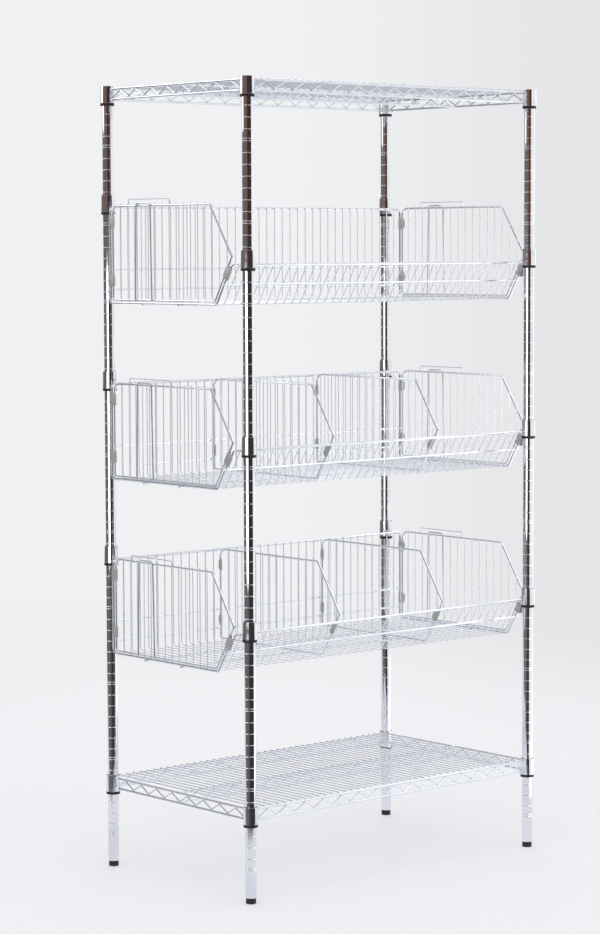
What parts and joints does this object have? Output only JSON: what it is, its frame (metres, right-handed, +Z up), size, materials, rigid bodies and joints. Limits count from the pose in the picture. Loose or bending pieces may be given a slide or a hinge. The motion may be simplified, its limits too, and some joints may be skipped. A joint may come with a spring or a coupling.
{
  "type": "bakery bread rack",
  "caption": "Free-standing chrome wire rack with grooved round posts, wire shelves at top and bottom, and slanted-front wire baskets with sliding dividers between them.",
  "frame": {"origin": "centre of the rack's footprint, on the floor under the feet", "axes": "+X runs to the right as seen from the front, -Y is the front where the baskets slope down, +Z is up"},
  "size_m": [0.924, 0.5338, 1.8167],
  "materials": {
    "chrome": "bright chrome plate on steel tube, rod and wire",
    "black_plastic": "satin black moulded plastic",
    "grey_plastic": "grey moulded plastic"
  },
  "bodies": {
    "frame": {"post_front_left": "chrome", "cap_front_left": "grey_plastic", "insert_front_left": "grey_plastic", "post_front_right": "chrome", "cap_front_right": "grey_plastic", "insert_front_right": "grey_plastic", "post_rear_left": "chrome", "cap_rear_left": "grey_plastic", "insert_rear_left": "grey_plastic", "post_rear_right": "chrome", "cap_rear_right": "grey_plastic", "insert_rear_right": "grey_plastic", "sleeve_top_front_left": "black_plastic", "sleeve_top_front_right": "black_plastic", "sleeve_top_rear_left": "black_plastic", "sleeve_top_rear_right": "black_plastic", "sleeve_bottom_front_left": "black_plastic", "sleeve_bottom_front_right": "black_plastic", "sleeve_bottom_rear_left": "black_plastic", "sleeve_bottom_rear_right": "black_plastic", "sleeve_upper_front_left": "black_plastic", "sleeve_upper_front_right": "black_plastic", "sleeve_upper_rear_left": "black_plastic", "sleeve_upper_rear_right": "black_plastic", "sleeve_middle_front_left": "black_plastic", "sleeve_middle_front_right": "black_plastic", "sleeve_middle_rear_left": "black_plastic", "sleeve_middle_rear_right": "black_plastic", "sleeve_lower_front_left": "black_plastic", "sleeve_lower_front_right": "black_plastic", "sleeve_lower_rear_left": "black_plastic", "sleeve_lower_rear_right": "black_plastic", "top_shelf": "chrome", "bottom_shelf": "chrome"},
    "upper_basket": {"upper_basket_back": "chrome", "upper_basket_floor": "chrome", "upper_basket_lip": "chrome", "upper_basket_left_end": "chrome", "upper_basket_right_end": "chrome"},
    "middle_basket": {"middle_basket_back": "chrome", "middle_basket_floor": "chrome", "middle_basket_lip": "chrome", "middle_basket_left_end": "chrome", "middle_basket_right_end": "chrome"},
    "lower_basket": {"lower_basket_back": "chrome", "lower_basket_floor": "chrome", "lower_basket_lip": "chrome", "lower_basket_left_end": "chrome", "lower_basket_right_end": "chrome"},
    "middle_divider_left": {"middle_divider_left": "chrome"},
    "middle_divider_right": {"middle_divider_right": "chrome"},
    "lower_divider_left": {"lower_divider_left": "chrome"},
    "lower_divider_right": {"lower_divider_right": "chrome"},
    "foot_front_left": {"foot_front_left": "black_plastic"},
    "foot_front_right": {"foot_front_right": "black_plastic"},
    "foot_rear_left": {"foot_rear_left": "black_plastic"},
    "foot_rear_right": {"foot_rear_right": "black_plastic"}
  },
  "joints": [
    {"name": "upper_basket_lift", "type": "slide", "parent": "frame", "child": "upper_basket", "axis": [0, 0, 1], "range_m": [0, 0.12]},
    {"name": "middle_basket_lift", "type": "slide", "parent": "frame", "child": "middle_basket", "axis": [0, 0, 1], "range_m": [0, 0.12]},
    {"name": "lower_basket_lift", "type": "slide", "parent": "frame", "child": "lower_basket", "axis": [0, 0, 1], "range_m": [0, 0.12]},
    {"name": "middle_divider_left_slide", "type": "slide", "parent": "middle_basket", "child": "middle_divider_left", "axis": [1, 0, 0], "range_m": [-0.24, 0.14]},
    {"name": "middle_divider_right_slide", "type": "slide", "parent": "middle_basket", "child": "middle_divider_right", "axis": [1, 0, 0], "range_m": [-0.14, 0.24]},
    {"name": "lower_divider_left_slide", "type": "slide", "parent": "lower_basket", "child": "lower_divider_left", "axis": [1, 0, 0], "range_m": [-0.25, 0.14]},
    {"name": "lower_divider_right_slide", "type": "slide", "parent": "lower_basket", "child": "lower_divider_right", "axis": [1, 0, 0], "range_m": [-0.14, 0.22]},
    {"name": "foot_front_left_screw", "type": "slide", "parent": "frame", "child": "foot_front_left", "axis": [0, 0, -1], "range_m": [0, 0.012]},
    {"name": "foot_front_right_screw", "type": "slide", "parent": "frame", "child": "foot_front_right", "axis": [0, 0, -1], "range_m": [0, 0.012]},
    {"name": "foot_rear_left_screw", "type": "slide", "parent": "frame", "child": "foot_rear_left", "axis": [0, 0, -1], "range_m": [0, 0.012]},
    {"name": "foot_rear_right_screw", "type": "slide", "parent": "frame", "child": "foot_rear_right", "axis": [0, 0, -1], "range_m": [0, 0.012]}
  ]
}
